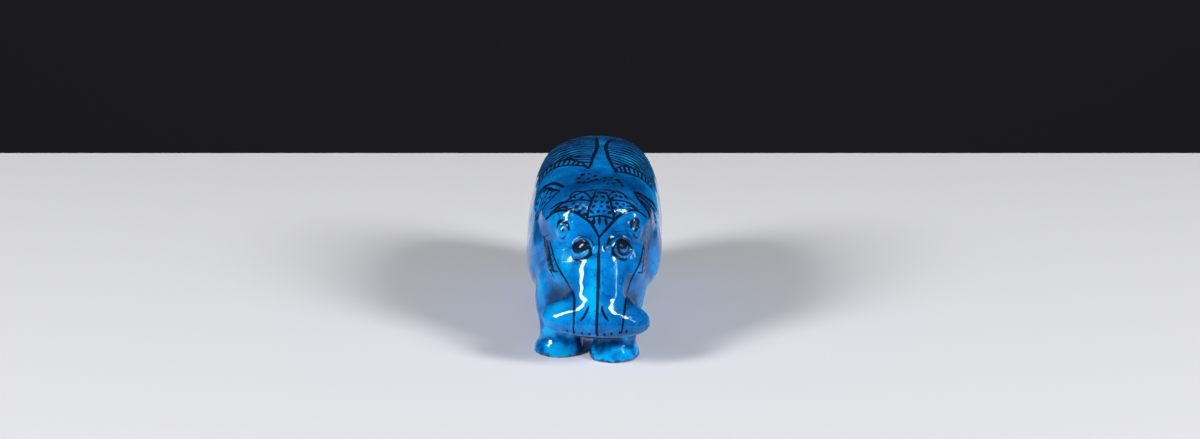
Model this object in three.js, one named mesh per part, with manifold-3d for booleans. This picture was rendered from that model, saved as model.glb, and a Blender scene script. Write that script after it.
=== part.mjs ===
// A glazed faience hippopotamus that stands with its head lowered. It is modelled and fired as one piece.
// Millimetres, +Z up. The muzzle points along -Y, and the four soles stand flat on Z = 0.
import * as THREE from "three";
import { SimplifyModifier } from "three/addons/modifiers/SimplifyModifier.js";
import { mergeVertices } from "three/addons/utils/BufferGeometryUtils.js";
import Module from "manifold-3d";

// Driving dimensions
const LENGTH = 200; // muzzle to rump
const WIDTH = 79; // across the belly
const HEIGHT = 99; // soles to the top of the back
const BELLY_CLEARANCE = 17; // ground to the underside of the belly
const BELLY_HEIGHT = 50; // ground to where the belly is widest
const HEAD_WIDTH = 60; // across the crown, behind the ears
const SNOUT_WIDTH = 30; // across the snout, between the eyes and the lips
const MUZZLE_WIDTH = 60; // across the flared lips
const CHIN_HEIGHT = 18.5; // ground to the underside of the muzzle
const LEG_SPREAD = 30.6; // between the middles of a pair of legs
const LEG_WIDTH = 24.6; // across one leg, above its foot
const LEG_GAP = 2.2; // the slit between the legs of a pair
const FOOT_FLARE = 2.4; // how far a foot stands out all round its leg
const STRIDE = 9; // how far one leg of a pair is ahead of the other
const EYE_WIDTH = 12.6; // across the lids
const EYE_SPREAD = 22; // between the middles of the eyes
const EYE_HEIGHT = 63.5; // ground to the middles of the eyes
const EAR_LENGTH = 12;
const EAR_SPREAD = 39.5; // between the middles of the ears
const EAR_HEIGHT = 72.5; // ground to the middles of the ears
const MOUTH_GROOVE = 1.3; // across the groove of the mouth, which is cut as deep

// Hand-made unevenness
const LEAN = 0.075; // sideways shift of the whole figure for each unit of height
const HEAD_TURN = 0.08; // sideways shift of the head for each unit of its reach
const MUZZLE_ROLL = 4; // degrees that one end of the lips hangs lower
const LEGS_ASIDE = -0.4; // sideways shift of the legs
const EYES_ASIDE = 0.9; // sideways shift of the eyes
const MUZZLE_ASIDE = -0.8; // sideways shift of the lips
const BACK_ASIDE = 1; // how far the top of the back is shifted to the -X side

// Facets
const CELL = 2.6; // of the grid on which the form is measured
const FACETS = 7400; // kept of it, most of them where it curves tightly

// Places that several pieces of the form share
const NOSE = -LENGTH / 2;
const TAIL = LENGTH / 2;
const NECK_Y = NOSE + 0.3 * LENGTH;
const FACE_PITCH = 54; // how steeply the face hangs, in degrees below level
const FORELEGS_Y = NOSE + 0.19 * LENGTH;
const HIND_LEGS_Y = TAIL - 0.18 * LENGTH;
const FORELEGS_SLIT = 0.14 * HEIGHT; // ground to the top of the slit between the forelegs
const HIND_LEGS_SLIT = 0.13 * HEIGHT; // ground to the top of the slit between the hind legs
const FEET_DEPTH = 0.06 * HEIGHT; // how far the feet reach below the ground, before it grinds them flat

// The form is a union of soft lumps, as clay is pressed together.
// Each lump is a rounded box between an ellipsoid (power 2) and a brick (a high power).
// size holds its half-extents across, along and through. Its back half may reach further behind, and its
// lower half further below. pitch dips its front end, and roll lowers its +X side.
function lump(at, size, options = {}) {
  const { behind = size[1], below = size[2], pitch = 0, roll = 0, power = 2, blend = 6 } = options;
  const turn = new THREE.Matrix4().makeRotationX(THREE.MathUtils.degToRad(pitch));
  turn.premultiply(new THREE.Matrix4().makeRotationY(THREE.MathUtils.degToRad(roll)));
  return { at, size, behind, below, power, blend, inverse: turn.invert().elements };
}

// Distance from a point to a lump's surface, negative inside.
function distanceTo(form, x, y, z) {
  const dx = x - form.at[0];
  const dy = y - form.at[1];
  const dz = z - form.at[2];
  const m = form.inverse;
  const across = m[0] * dx + m[4] * dy + m[8] * dz;
  const along = m[1] * dx + m[5] * dy + m[9] * dz;
  const through = m[2] * dx + m[6] * dy + m[10] * dz;
  const shares = [
    [across, form.size[0]],
    [along, along > 0 ? form.behind : form.size[1]],
    [through, through < 0 ? form.below : form.size[2]],
  ];
  let sum = 0;
  let slope = 0;
  for (const [offset, half] of shares) {
    const share = Math.abs(offset) / half + 1e-9;
    sum += share ** form.power;
    slope += (share ** (form.power - 1) / half) ** 2;
  }
  const reach = sum ** (1 / form.power);
  return (reach - 1) / (reach ** (1 - form.power) * Math.sqrt(slope));
}

// Joins two distances with a fillet about as wide as the blend.
function softUnion(a, b, blend) {
  const overlap = Math.max(blend - Math.abs(a - b), 0) / blend;
  return Math.min(a, b) - (overlap * overlap * blend) / 4;
}

function bodyLumps() {
  const front = NOSE + 0.19 * LENGTH;
  const middle = NOSE + 0.565 * LENGTH;
  return [
    lump([0, middle, BELLY_HEIGHT], [WIDTH / 2, middle - front, HEIGHT - BELLY_HEIGHT], {
      behind: TAIL - middle, below: BELLY_HEIGHT - BELLY_CLEARANCE, power: 2.9,
    }),
    // Shoulders, which hang over the forelegs, a little heavier on the +X side
    lump([0.015 * WIDTH, NOSE + 0.32 * LENGTH, 0.48 * HEIGHT], [0.455 * WIDTH, 0.1 * LENGTH, 0.3 * HEIGHT], {
      below: 0.18 * HEIGHT, power: 2.8, blend: 8,
    }),
    // Neck
    lump([0, NOSE + 0.3 * LENGTH, 0.62 * HEIGHT], [0.3 * WIDTH, 0.12 * LENGTH, 0.25 * HEIGHT], { blend: 10 }),
    // Tail, pressed flat on the rump
    lump([0, TAIL - 0.012 * LENGTH, 0.52 * HEIGHT], [0.055 * WIDTH, 0.02 * LENGTH, 0.13 * HEIGHT], {
      blend: 4,
    }),
  ];
}

function legLumps() {
  const lumps = [];
  const half = LEG_WIDTH / 2;
  const foot = half + FOOT_FLARE;
  const pairs = [
    { y: FORELEGS_Y, thighY: FORELEGS_Y + 0.04 * LENGTH, step: STRIDE, bulk: 1 },
    { y: HIND_LEGS_Y, thighY: HIND_LEGS_Y, step: -STRIDE, bulk: 1.12 },
  ];
  for (const { y, thighY, step, bulk } of pairs) {
    for (const side of [-1, 1]) {
      const x = (side * LEG_SPREAD) / 2 + LEGS_ASIDE;
      const legY = y - (side * step) / 2;
      lumps.push(
        lump([bulk * 1.15 * x, thighY, 0.36 * HEIGHT], [1.1 * half, bulk * 1.2 * half, 0.2 * HEIGHT]),
        lump([x, legY + 0.1 * half, 0.19 * HEIGHT], [1.02 * half, 0.9 * half, 0.22 * HEIGHT], {
          power: 2.6, blend: 7,
        }),
        lump([x, legY, -0.035 * HEIGHT], [1.04 * foot, 1.05 * foot, 0.18 * HEIGHT], {
          below: 0.02 * HEIGHT, blend: 2,
        }),
      );
    }
  }
  return lumps;
}

// The ridge that runs down the face from an ear to the eye
function browRidge(side) {
  const x = 1.07 * (EYE_SPREAD + EAR_SPREAD) / 4;
  const z = (EYE_HEIGHT + EAR_HEIGHT) / 2;
  return lump([side * x, NOSE + 0.207 * LENGTH, z], [0.56 * EYE_WIDTH, 1.1 * EYE_WIDTH, 0.43 * EYE_WIDTH], {
    pitch: 1.07 * FACE_PITCH, roll: 36 * side, blend: 4,
  });
}

function headLumps() {
  const crown = HEAD_WIDTH / 2;
  const snout = SNOUT_WIDTH / 2;
  return [
    // Crown
    lump([0, NOSE + 0.27 * LENGTH, 0.755 * HEIGHT], [crown, 0.085 * LENGTH, 0.135 * HEIGHT], {
      pitch: 0.5 * FACE_PITCH, power: 2.2, blend: 7,
    }),
    // Cheeks and jowls
    lump([0, NOSE + 0.215 * LENGTH, 0.575 * HEIGHT], [0.9 * crown, 0.16 * LENGTH, 0.07 * LENGTH], {
      below: 0.11 * LENGTH, pitch: FACE_PITCH, power: 2.2,
    }),
    // Snout
    lump([0, NOSE + 0.12 * LENGTH, 0.405 * HEIGHT], [snout, 0.11 * LENGTH, 0.062 * LENGTH], {
      behind: 0.15 * LENGTH, below: 0.09 * LENGTH, pitch: 1.05 * FACE_PITCH, power: 2.7,
    }),
    // Flared muzzle
    lump(
      [MUZZLE_ASIDE, NOSE + 0.076 * LENGTH, CHIN_HEIGHT + 0.09 * HEIGHT],
      [MUZZLE_WIDTH / 2, 0.075 * LENGTH, 0.115 * HEIGHT],
      { below: 0.09 * HEIGHT, pitch: 0.2 * FACE_PITCH, roll: MUZZLE_ROLL, power: 2.1, blend: 4.5 },
    ),
    // Chin and throat
    lump([0, NOSE + 0.14 * LENGTH, 0.3 * HEIGHT], [snout, 0.11 * LENGTH, 0.1 * HEIGHT], { blend: 8 }),
    browRidge(-1),
    browRidge(1),
  ];
}

const trunk = [...bodyLumps(), ...legLumps()];
const head = headLumps();

const headShift = (y) => HEAD_TURN * (NECK_Y - y);

// The back slumped to one side as it was made: its top is shifted, and narrower on its +X side.
function slumped(x, z) {
  const high = THREE.MathUtils.smoothstep(z, 0.55 * HEIGHT, 0.95 * HEIGHT);
  return x + high * (BACK_ASIDE + 0.06 * Math.max(x, 0) + 0.03 * Math.min(x, 0));
}

function fieldAt(x, y, z) {
  let distance = 1e3;
  for (const form of trunk) distance = softUnion(distance, distanceTo(form, slumped(x, z), y, z), form.blend);
  const turned = x - headShift(y);
  for (const form of head) distance = softUnion(distance, distanceTo(form, turned, y, z), form.blend);
  return distance;
}

function gridLines(from, to) {
  return Array.from({ length: Math.ceil((to - from) / CELL) + 1 }, (_, n) => from + n * CELL);
}

const CORNERS = [0, 1, 2, 3, 4, 5, 6, 7].map((n) => [n & 1, (n >> 1) & 1, (n >> 2) & 1]);
const CELL_FACES = [1, 2, 4].flatMap((across) => {
  const [u, v] = [1, 2, 4].filter((n) => n !== across);
  return [0, across].map((start) => [start, start + u, start + u + v, start + v]);
});
const CELL_EDGES = CORNERS.flatMap((a) =>
  [0, 1, 2].filter((axis) => a[axis] === 0).map((axis) => [a, a.map((c, n) => (n === axis ? 1 : c))]),
);

// Turns the field into a closed mesh: one vertex in each cell that the surface passes, and a quad round each
// grid edge that crosses it. An inset draws the surface that lies so far inside.
function surfaceMesh(inset = 0) {
  const margin = 3 * CELL;
  const xs = gridLines(-WIDTH / 2 - margin, WIDTH / 2 + margin);
  const ys = gridLines(NOSE - margin, TAIL + margin);
  const zs = gridLines(-FEET_DEPTH - margin, HEIGHT + margin);
  const counts = [xs.length, ys.length, zs.length];
  const index = (i, j, k) => (i * counts[1] + j) * counts[2] + k;
  const values = new Float64Array(counts[0] * counts[1] * counts[2]);
  for (const [i, x] of xs.entries()) {
    for (const [j, y] of ys.entries()) {
      for (const [k, z] of zs.entries()) values[index(i, j, k)] = fieldAt(x, y, z) + inset;
    }
  }
  fillPinches(values, counts, index);

  const positions = [];
  const vertexOfCell = new Map();
  for (let i = 0; i + 1 < counts[0]; i++) {
    for (let j = 0; j + 1 < counts[1]; j++) {
      for (let k = 0; k + 1 < counts[2]; k++) {
        const sum = [0, 0, 0];
        let crossings = 0;
        for (const [a, b] of CELL_EDGES) {
          const va = values[index(i + a[0], j + a[1], k + a[2])];
          const vb = values[index(i + b[0], j + b[1], k + b[2])];
          if (va < 0 === vb < 0) continue;
          const t = va / (va - vb);
          const at = (axis, lines, n) => lines[n + a[axis]] + t * (lines[n + b[axis]] - lines[n + a[axis]]);
          sum[0] += at(0, xs, i);
          sum[1] += at(1, ys, j);
          sum[2] += at(2, zs, k);
          crossings++;
        }
        if (crossings) {
          vertexOfCell.set(index(i, j, k), positions.length / 3);
          positions.push(...ontoSurface(sum.map((s) => s / crossings), inset));
        }
      }
    }
  }

  const faces = [];
  for (let i = 1; i + 1 < counts[0]; i++) {
    for (let j = 1; j + 1 < counts[1]; j++) {
      for (let k = 1; k + 1 < counts[2]; k++) {
        const inside = values[index(i, j, k)] < 0;
        for (let axis = 0; axis < 3; axis++) {
          const next = [i, j, k];
          next[axis]++;
          if (values[index(...next)] < 0 === inside) continue;
          const ring = [[0, 0], [1, 0], [1, 1], [0, 1]].map(([du, dv]) => {
            const cell = [i, j, k];
            cell[(axis + 1) % 3] -= du;
            cell[(axis + 2) % 3] -= dv;
            return vertexOfCell.get(index(...cell));
          });
          if (!inside) ring.reverse();
          faces.push(ring[0], ring[1], ring[2], ring[0], ring[2], ring[3]);
        }
      }
    }
  }
  const geometry = new THREE.BufferGeometry();
  geometry.setAttribute("position", new THREE.Float32BufferAttribute(positions, 3));
  geometry.setIndex(faces);
  return geometry;
}

// Two sheets of the surface may not touch along one edge or in one corner. Where they would, the nearest
// outside corner of the cell is filled in.
function fillPinches(values, counts, index) {
  const fill = (corners) => {
    const outside = corners.filter((n) => values[n] >= 0);
    values[outside.reduce((a, b) => (values[b] < values[a] ? b : a))] = -1e-3;
  };
  for (let changed = true; changed; ) {
    changed = false;
    for (let i = 0; i + 1 < counts[0]; i++) {
      for (let j = 0; j + 1 < counts[1]; j++) {
        for (let k = 0; k + 1 < counts[2]; k++) {
          const cell = CORNERS.map(([a, b, c]) => index(i + a, j + b, k + c));
          for (const ring of CELL_FACES) {
            const [a, b, c, d] = ring.map((n) => values[cell[n]] < 0);
            if (a !== c || b !== d || a === b) continue;
            fill(ring.map((n) => cell[n]));
            changed = true;
          }
          for (const sign of [true, false]) {
            const alike = cell.filter((n) => values[n] < 0 === sign);
            if (alike.length !== 2 || cell.indexOf(alike[0]) + cell.indexOf(alike[1]) !== 7) continue;
            fill(cell);
            changed = true;
          }
        }
      }
    }
  }
}

function slopeAt(x, y, z) {
  const reach = 0.05;
  const here = fieldAt(x, y, z);
  return new THREE.Vector3(fieldAt(x + reach, y, z), fieldAt(x, y + reach, z), fieldAt(x, y, z + reach))
    .subScalar(here)
    .divideScalar(reach);
}

// Slides a point along the field's slope until it lies on the surface.
function ontoSurface(point, inset) {
  const at = new THREE.Vector3(...point);
  for (let step = 0; step < 4; step++) {
    const slope = slopeAt(...at);
    at.addScaledVector(slope, -(fieldAt(...at) + inset) / Math.max(slope.lengthSq(), 0.25));
  }
  return at.toArray();
}

// A place on the face, seen from the front. Its Z axis stands out of the face and its Y axis points up it.
function placeOnFace(x, z) {
  let y = 1.2 * NOSE;
  while (fieldAt(x + headShift(y), y, z) > 0) y += 0.1;
  const at = new THREE.Vector3(x + headShift(y), y, z);
  const out = slopeAt(...at).normalize();
  const across = new THREE.Vector3(0, 0, 1).cross(out).normalize();
  return new THREE.Matrix4().makeBasis(across, out.clone().cross(across), out).setPosition(at);
}

const wasm = await Module();
wasm.setup();

function toManifold(geometry) {
  const bare = geometry.clone();
  for (const name of ["normal", "uv"]) bare.deleteAttribute(name);
  const merged = mergeVertices(bare, 1e-4);
  return new wasm.Manifold(
    new wasm.Mesh({
      numProp: 3,
      vertProperties: new Float32Array(merged.attributes.position.array),
      triVerts: new Uint32Array(merged.index.array),
    }),
  );
}

function toGeometry(manifold) {
  const { vertProperties, triVerts } = manifold.getMesh();
  const geometry = new THREE.BufferGeometry();
  geometry.setAttribute("position", new THREE.Float32BufferAttribute(vertProperties, 3));
  geometry.setIndex([...triVerts]);
  return geometry;
}

function ellipsoid(across, up, out) {
  return new THREE.SphereGeometry(1, 16, 10).scale(across, up, out);
}

// An eyeball between thick lids
function eye(side) {
  const half = EYE_WIDTH / 2;
  const place = placeOnFace((side * EYE_SPREAD) / 2 + EYES_ASIDE, EYE_HEIGHT);
  const ball = ellipsoid(0.86 * half, 0.78 * half, 0.6 * half).translate(0, 0, -0.16 * half);
  const lids = new THREE.TorusGeometry(0.86 * half, 0.16 * half, 6, 22).scale(1, 0.9, 1);
  return toManifold(ball.applyMatrix4(place)).add(toManifold(lids.applyMatrix4(place)));
}

// A cup that opens forward and outward
function ear(side) {
  const half = EAR_LENGTH / 2;
  const place = placeOnFace((side * EAR_SPREAD) / 2, EAR_HEIGHT);
  const cup = ellipsoid(0.78 * half, half, 0.7 * half);
  const hollow = ellipsoid(0.5 * half, 0.6 * half, 0.6 * half);
  hollow.translate(0.06 * side * half, 0.16 * half, 0.72 * half);
  return toManifold(cup.applyMatrix4(place)).subtract(toManifold(hollow.applyMatrix4(place)));
}

// The groove between the lips, which follows the muzzle round from one end of its flare to the other
function mouthGroove() {
  const band = new THREE.BoxGeometry(2 * MUZZLE_WIDTH, 0.15 * LENGTH, MOUTH_GROOVE)
    .rotateY(THREE.MathUtils.degToRad(MUZZLE_ROLL))
    .translate(0, NOSE, CHIN_HEIGHT + 1.6 * MOUTH_GROOVE);
  return toManifold(band).subtract(toManifold(surfaceMesh(MOUTH_GROOVE)));
}

// The slit that parts a pair of legs from front to back, up to a round top
function legSlit(y, top) {
  const half = LEG_GAP / 2;
  const depth = 1.75 * LEG_WIDTH;
  const outline = new THREE.Shape();
  outline.moveTo(-half, -HEIGHT / 4).lineTo(half, -HEIGHT / 4).lineTo(half, top);
  outline.absarc(0, top, half, 0, Math.PI);
  const slit = new THREE.ExtrudeGeometry(outline, { depth, bevelEnabled: false, curveSegments: 6 });
  return toManifold(slit.rotateX(Math.PI / 2).translate(LEGS_ASIDE, y + depth / 2, 0));
}

// Grinds the soles flat at Z = 0, leans the figure as the hand-made one leans, and puts the middle of its
// outline over the origin.
async function hippoGeometry() {
  const ground = new THREE.BoxGeometry(3 * WIDTH, 2 * LENGTH, HEIGHT).translate(0, 0, -HEIGHT / 2);
  const added = [eye(-1), eye(1), ear(-1), ear(1)];
  const slits = [legSlit(FORELEGS_Y, FORELEGS_SLIT), legSlit(HIND_LEGS_Y, HIND_LEGS_SLIT)];
  const cut = [mouthGroove(), ...slits, toManifold(ground)];
  const fine = surfaceMesh();
  const body = await new SimplifyModifier().modify(fine, fine.attributes.position.count - FACETS / 2);
  const whole = added.reduce((rest, piece) => rest.add(piece), toManifold(body));
  const geometry = toGeometry(cut.reduce((rest, piece) => rest.subtract(piece), whole));
  geometry.applyMatrix4(new THREE.Matrix4().makeShear(0, 0, 0, 0, LEAN, 0));
  geometry.computeBoundingBox();
  const centre = geometry.boundingBox.getCenter(new THREE.Vector3());
  geometry.translate(-centre.x, -centre.y, 0);
  geometry.computeVertexNormals();
  return geometry;
}

const glaze = new THREE.MeshStandardMaterial({ color: 0x0a7fd0, roughness: 0.12, metalness: 0 });
const hippo = new THREE.Mesh(await hippoGeometry(), glaze);
hippo.name = "hippo";

const group = new THREE.Group();
group.add(hippo);
export default group;
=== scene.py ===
# %% [markdown]
# # A glazed faience hippopotamus
# The real piece is a hand-sized figure of fired clay under a thick blue glaze. Its decoration is brushed on
# in black before the firing, and the glaze has crazed into a fine net of cracks as it cooled.
# The shape has no flat or turned part to start from, so it is described as a field: a function that says how
# far any point is from the surface. The field is meshed, the brushwork is measured on the mesh, and one
# glaze material does the rest.

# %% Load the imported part
from math import cos, radians, sin

import bpy
import numpy as np
from mathutils import Matrix, Vector
from mathutils.bvhtree import BVHTree


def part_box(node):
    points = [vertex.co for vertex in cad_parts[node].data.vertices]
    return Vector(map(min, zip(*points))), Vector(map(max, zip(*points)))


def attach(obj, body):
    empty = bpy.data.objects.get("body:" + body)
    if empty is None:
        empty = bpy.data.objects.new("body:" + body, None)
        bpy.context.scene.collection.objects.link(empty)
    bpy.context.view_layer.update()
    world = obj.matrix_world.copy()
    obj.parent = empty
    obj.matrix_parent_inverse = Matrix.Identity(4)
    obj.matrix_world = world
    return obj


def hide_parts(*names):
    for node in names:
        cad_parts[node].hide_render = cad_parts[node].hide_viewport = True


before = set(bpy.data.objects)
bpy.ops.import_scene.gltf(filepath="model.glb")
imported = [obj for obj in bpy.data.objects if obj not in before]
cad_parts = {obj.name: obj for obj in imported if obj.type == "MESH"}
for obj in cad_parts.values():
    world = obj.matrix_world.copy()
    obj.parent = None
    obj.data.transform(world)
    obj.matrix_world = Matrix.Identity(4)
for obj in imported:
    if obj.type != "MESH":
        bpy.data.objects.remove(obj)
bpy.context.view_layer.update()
MM = 0.001  # the field is worked out in millimetres, and Blender's unit is a metre
box_low, box_high = (np.array(corner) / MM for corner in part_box("hippo"))
print("hippo box in mm:", box_low.round(1), box_high.round(1))

# %% [markdown]
# ## Camera
# The figure is seen from straight ahead and a little above. A long lens far away keeps the lowered muzzle
# from looking too large against the back.

# %% Camera
scene = bpy.context.scene
AIM = Vector((0.0035, 0.0, 0.060))
CAMERA_DISTANCE = 1.2
CAMERA_ABOVE = radians(16)
LENS, SENSOR = 61.2, 36  # millimetres, as on a real camera


def add_object(name, data):
    made = bpy.data.objects.new(name, data)
    scene.collection.objects.link(made)
    return made


def aim(thing, target):
    thing.rotation_euler = (Vector(target) - thing.location).to_track_quat("-Z", "Y").to_euler()


camera = add_object("camera", bpy.data.cameras.new("camera"))
camera.data.lens, camera.data.sensor_width = LENS, SENSOR
camera.location = AIM + CAMERA_DISTANCE * Vector((0, -cos(CAMERA_ABOVE), sin(CAMERA_ABOVE)))
aim(camera, AIM)
camera.data.clip_start, camera.data.clip_end = 0.05, 20
scene.camera = camera
print("camera at", [round(c, 3) for c in camera.location])

# %% [markdown]
# ## Sizes of the figure
# These are the sizes that the solid in the frame was made from. They are repeated here in millimetres, so
# that the finished skin lies on that solid.

# %% Sizes
LENGTH, WIDTH, HEIGHT = 200.0, 79.0, 99.0
BELLY_CLEARANCE, BELLY_HEIGHT = 17.0, 50.0  # of its underside, and of where it is widest
HEAD_WIDTH, SNOUT_WIDTH, MUZZLE_WIDTH = 60.0, 30.0, 60.0
CHIN_HEIGHT, MOUTH_GROOVE = 18.5, 1.3
LEG_SPREAD, LEG_WIDTH, LEG_GAP = 30.6, 24.6, 2.2  # middle to middle, across one, and the slit
FOOT_FLARE, STRIDE = 2.4, 9.0  # how far a foot stands out, and how far one of a pair is ahead
EYE_WIDTH, EYE_SPREAD, EYE_HEIGHT = 12.6, 22.0, 63.5
EAR_LENGTH, EAR_SPREAD, EAR_HEIGHT = 12.0, 39.5, 72.5
FACE_PITCH, MUZZLE_ROLL = 54.0, 4.0  # degrees
LEAN, HEAD_TURN = 0.075, 0.08  # sideways for each unit of height, and of the head's reach
LEGS_ASIDE, EYES_ASIDE, MUZZLE_ASIDE, BACK_ASIDE = -0.4, 0.9, -0.8, 1.0

NOSE, TAIL = -LENGTH / 2, LENGTH / 2
NECK_Y = NOSE + 0.3 * LENGTH
FORELEGS_Y, HIND_LEGS_Y = NOSE + 0.19 * LENGTH, TAIL - 0.18 * LENGTH
FORELEGS_SLIT, HIND_LEGS_SLIT = 0.14 * HEIGHT, 0.13 * HEIGHT  # ground to the top of the slit

# %% [markdown]
# ## Soft lumps
# A modeller presses rolls and balls of clay together and smooths the joints with a thumb. The field does the
# same: each lump is an ellipsoid, or something between an ellipsoid and a brick, and a soft union fills the
# corner where two of them meet. Metaballs could do this too, but they take no flat brick shapes and their
# size is hard to hold to the millimetre.

# %% Helpers of the field
def lump(at, size, behind=None, below=None, pitch=0.0, roll=0.0, power=2.0, blend=6.0):
    """A rounded box at a place. Its back half may reach further behind, and its lower half further below."""
    turn = Matrix.Rotation(radians(roll), 3, "Y") @ Matrix.Rotation(radians(pitch), 3, "X")
    far = (size[0], behind or size[1], below or size[2])
    return {"at": np.array(at, float), "size": size, "far": far, "turn": np.array(turn), "power": power,
            "blend": blend}


def lump_distance(form, points):
    """Distance from each point to the lump's surface, negative inside."""
    local = (points - form["at"]) @ form["turn"]
    half = np.where(local * (1, 1, -1) > 0, form["far"], form["size"])
    share = np.abs(local) / half + 1e-9
    power = form["power"]
    reach = (share ** power).sum(1) ** (1 / power)
    slope = np.sqrt(((share ** (power - 1) / half) ** 2).sum(1))
    return (reach - 1) * reach ** (power - 1) / slope


def soft_union(a, b, blend):
    overlap = np.maximum(blend - np.abs(a - b), 0) / blend
    return np.minimum(a, b) - overlap * overlap * blend / 4


def soft_cut(a, b, blend):
    """Takes the inside of b out of a, and rounds the edge that this leaves."""
    return -soft_union(-a, b, blend)


def fade(values, zero, one):
    """0 up to one value, 1 from another one on, and even between them."""
    return np.clip((values - zero) / (one - zero), 0, 1)


# %% [markdown]
# ## Body, legs and head
# The barrel of the body is one long lump that hangs to the belly. Shoulders, neck and tail are pressed onto
# it, each leg is a thigh, a shank and a flared foot, and the head is a crown, cheeks, a snout and a broad
# muzzle, all along the steep line of the face.

# %% Lumps of the body and the legs
def body_lumps():
    front, middle = NOSE + 0.19 * LENGTH, NOSE + 0.565 * LENGTH
    return [
        lump((0, middle, BELLY_HEIGHT), (WIDTH / 2, middle - front, HEIGHT - BELLY_HEIGHT),
             behind=TAIL - middle, below=BELLY_HEIGHT - BELLY_CLEARANCE, power=2.9),
        lump((0.015 * WIDTH, NOSE + 0.32 * LENGTH, 0.48 * HEIGHT),
             (0.455 * WIDTH, 0.1 * LENGTH, 0.3 * HEIGHT), below=0.18 * HEIGHT, power=2.8, blend=8),
        lump((0, NOSE + 0.3 * LENGTH, 0.62 * HEIGHT), (0.3 * WIDTH, 0.12 * LENGTH, 0.25 * HEIGHT), blend=10),
        lump((0, TAIL - 0.012 * LENGTH, 0.52 * HEIGHT), (0.055 * WIDTH, 0.02 * LENGTH, 0.13 * HEIGHT),
             blend=4),
    ]


def leg_lumps():
    lumps, half, foot = [], LEG_WIDTH / 2, LEG_WIDTH / 2 + FOOT_FLARE
    for y, thigh_y, step, bulk in ((FORELEGS_Y, FORELEGS_Y + 0.04 * LENGTH, STRIDE, 1.0),
                                   (HIND_LEGS_Y, HIND_LEGS_Y, -STRIDE, 1.12)):
        for side in (-1, 1):
            x, leg_y = side * LEG_SPREAD / 2 + LEGS_ASIDE, y - side * step / 2
            lumps += [
                lump((bulk * 1.15 * x, thigh_y, 0.36 * HEIGHT),
                     (1.1 * half, bulk * 1.2 * half, 0.2 * HEIGHT)),
                lump((x, leg_y + 0.1 * half, 0.19 * HEIGHT), (1.02 * half, 0.9 * half, 0.22 * HEIGHT),
                     power=2.6, blend=7),
                lump((x, leg_y, -0.035 * HEIGHT), (1.04 * foot, 1.05 * foot, 0.18 * HEIGHT),
                     below=0.02 * HEIGHT, blend=2),
            ]
    return lumps


TRUNK = body_lumps() + leg_lumps()
print(len(TRUNK), "lumps in the body and the legs")

# %% Lumps of the head
def brow_ridge(side):
    """The ridge that runs down the face from an ear to the eye."""
    x, z = 1.07 * (EYE_SPREAD + EAR_SPREAD) / 4, (EYE_HEIGHT + EAR_HEIGHT) / 2
    return lump((side * x, NOSE + 0.207 * LENGTH, z), (0.56 * EYE_WIDTH, 1.1 * EYE_WIDTH, 0.43 * EYE_WIDTH),
                pitch=1.07 * FACE_PITCH, roll=36 * side, blend=4)


def head_lumps():
    crown, snout = HEAD_WIDTH / 2, SNOUT_WIDTH / 2
    return [
        lump((0, NOSE + 0.27 * LENGTH, 0.755 * HEIGHT), (crown, 0.085 * LENGTH, 0.135 * HEIGHT),
             pitch=0.5 * FACE_PITCH, power=2.2, blend=7),
        lump((0, NOSE + 0.215 * LENGTH, 0.575 * HEIGHT), (0.9 * crown, 0.16 * LENGTH, 0.07 * LENGTH),
             below=0.11 * LENGTH, pitch=FACE_PITCH, power=2.2),
        lump((0, NOSE + 0.12 * LENGTH, 0.405 * HEIGHT), (snout, 0.11 * LENGTH, 0.062 * LENGTH),
             behind=0.15 * LENGTH, below=0.09 * LENGTH, pitch=1.05 * FACE_PITCH, power=2.7),
        lump((MUZZLE_ASIDE, NOSE + 0.076 * LENGTH, CHIN_HEIGHT + 0.09 * HEIGHT),
             (MUZZLE_WIDTH / 2, 0.075 * LENGTH, 0.115 * HEIGHT), below=0.09 * HEIGHT,
             pitch=0.2 * FACE_PITCH, roll=MUZZLE_ROLL, power=2.1, blend=4.5),
        lump((0, NOSE + 0.14 * LENGTH, 0.3 * HEIGHT), (snout, 0.11 * LENGTH, 0.1 * HEIGHT), blend=8),
        brow_ridge(-1),
        brow_ridge(1),
    ]


HEAD = head_lumps()
print(len(HEAD), "lumps in the head")

# %% The clay as a whole
def head_shift(y):
    """The head is turned a little, so it slides sideways as it reaches forward."""
    return HEAD_TURN * (NECK_Y - y)


def slumped(points):
    """The back slumped as it was made: its top is moved towards -X, and is narrower, most on its +X side."""
    x = points[:, 0]
    high = np.clip((points[:, 2] / HEIGHT - 0.55) / 0.4, 0, 1)
    high = high * high * (3 - 2 * high)
    moved = points.copy()
    moved[:, 0] += high * (BACK_ASIDE + 0.06 * np.maximum(x, 0) + 0.03 * np.minimum(x, 0))
    return moved


def clay_field(points):
    """The figure before its eyes, ears and mouth are worked."""
    turned = points.copy()
    turned[:, 0] -= head_shift(points[:, 1])
    distance = np.full(len(points), 1e3)
    for forms, places in ((TRUNK, slumped(points)), (HEAD, turned)):
        for form in forms:
            distance = soft_union(distance, lump_distance(form, places), form["blend"])
    return distance


# %% [markdown]
# ## Eyes, ears and mouth
# Each of these is worked on the face itself, so each gets a small frame of its own: a place on the face, one
# axis that stands out of it and one that points up it. The eye is a ball between two thick lids that leave
# an almond-shaped opening. The ear is a shallow cup with a lobe in it, and the mouth is a soft groove that
# runs round the muzzle.

# %% Places on the face
def slope_of(field, points, reach=0.05):
    here = field(points)
    steps = [field(points + reach * axis) - here for axis in np.eye(3)]
    return here, np.stack(steps, 1) / reach


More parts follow.
